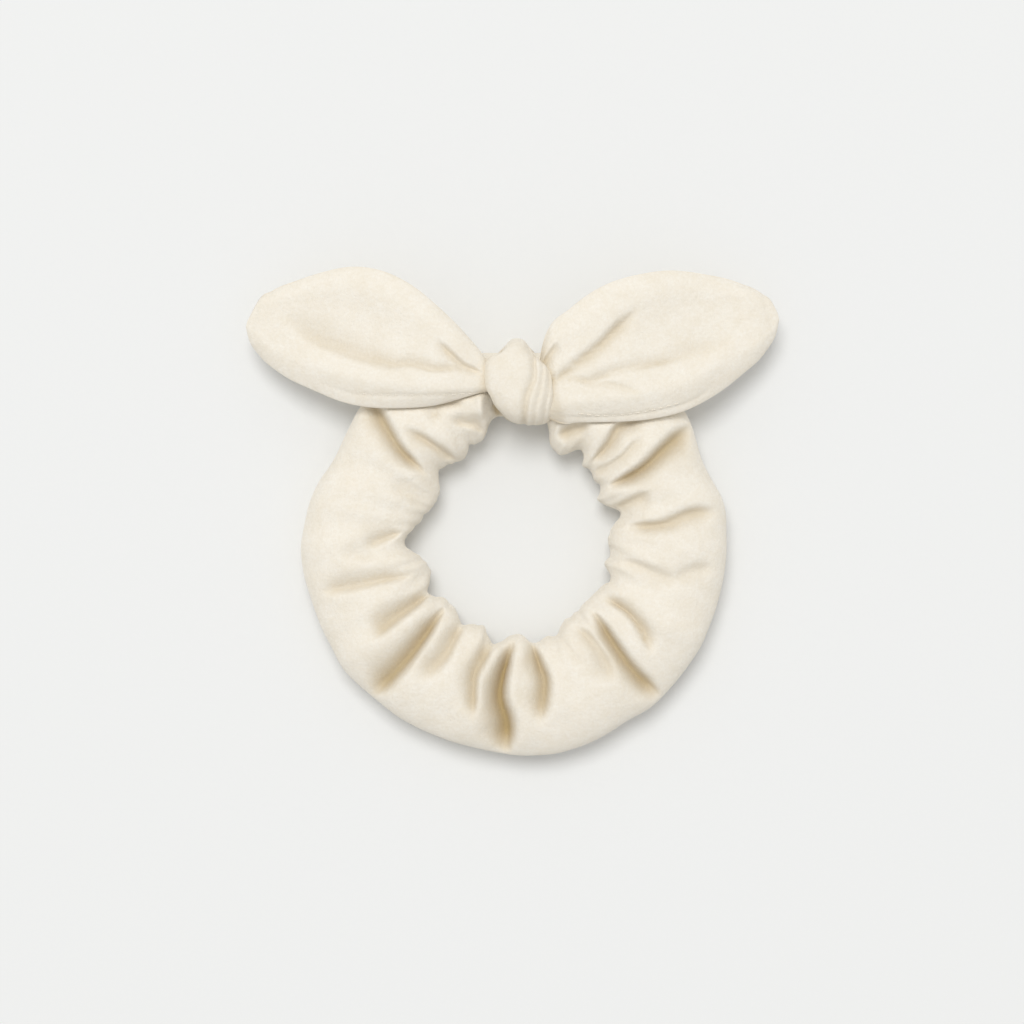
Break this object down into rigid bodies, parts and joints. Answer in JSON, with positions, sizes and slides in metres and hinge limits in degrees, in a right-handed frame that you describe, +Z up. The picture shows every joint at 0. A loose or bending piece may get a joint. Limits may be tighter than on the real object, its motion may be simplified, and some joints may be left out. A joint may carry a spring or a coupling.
{
  "type": "hair scrunchie",
  "caption": "Gathered velour hair ring on a flat elastic loop, with a short tie knotted round it whose two leaf-shaped ears lift and swing.",
  "frame": {"origin": "under the centre of the whole object, on the surface it lies on", "axes": "+Z up out of the lying ring, +Y towards the knot, +X to the right ear as seen from above"},
  "size_m": [0.1422, 0.1309, 0.027],
  "materials": {
    "velour": "matte",
    "elastic": "matte",
    "thread": "matte"
  },
  "bodies": {
    "band": {"sleeve_left_shoulder": "velour", "sleeve_right_shoulder": "velour", "knot_wrap": "velour", "knot_core": "velour", "elastic_loop": "elastic", "elastic_splice_stitches": "thread", "sleeve_closing_stitches": "thread", "sleeve_seam_left": "thread", "sleeve_seam_right": "thread"},
    "far_half": {"sleeve_far_half": "velour", "sleeve_seam_far": "thread"},
    "left_ear_root": {"left_ear_neck": "velour"},
    "left_ear": {"left_ear_front_panel": "velour", "left_ear_back_panel": "velour", "left_ear_edge_seam": "thread"},
    "right_ear_root": {"right_ear_neck": "velour"},
    "right_ear": {"right_ear_front_panel": "velour", "right_ear_back_panel": "velour", "right_ear_edge_seam": "thread"}
  },
  "joints": [
    {"name": "ring_stretch", "type": "slide", "parent": "band", "child": "far_half", "axis": [0, -1, 0], "range_m": [0, 0.07], "stiffness_N_per_m": 60, "deforming": ["elastic_loop"]},
    {"name": "left_ear_swing", "type": "hinge", "parent": "band", "child": "left_ear_root", "pos_m": [-0.0053, 0.0334, 0.02], "axis": [0, 0, -1], "range_deg": [0, 20]},
    {"name": "left_ear_lift", "type": "hinge", "parent": "left_ear_root", "child": "left_ear", "pos_m": [-0.01322, 0.03552, 0.0224], "axis": [0.2588, 0.9659, 0], "range_deg": [0, 90]},
    {"name": "right_ear_swing", "type": "hinge", "parent": "band", "child": "right_ear_root", "pos_m": [0.0079, 0.0334, 0.02], "axis": [0, 0, 1], "range_deg": [0, 20]},
    {"name": "right_ear_lift", "type": "hinge", "parent": "right_ear_root", "child": "right_ear", "pos_m": [0.01582, 0.03552, 0.0224], "axis": [0.2588, -0.9659, 0], "range_deg": [0, 90]}
  ]
}
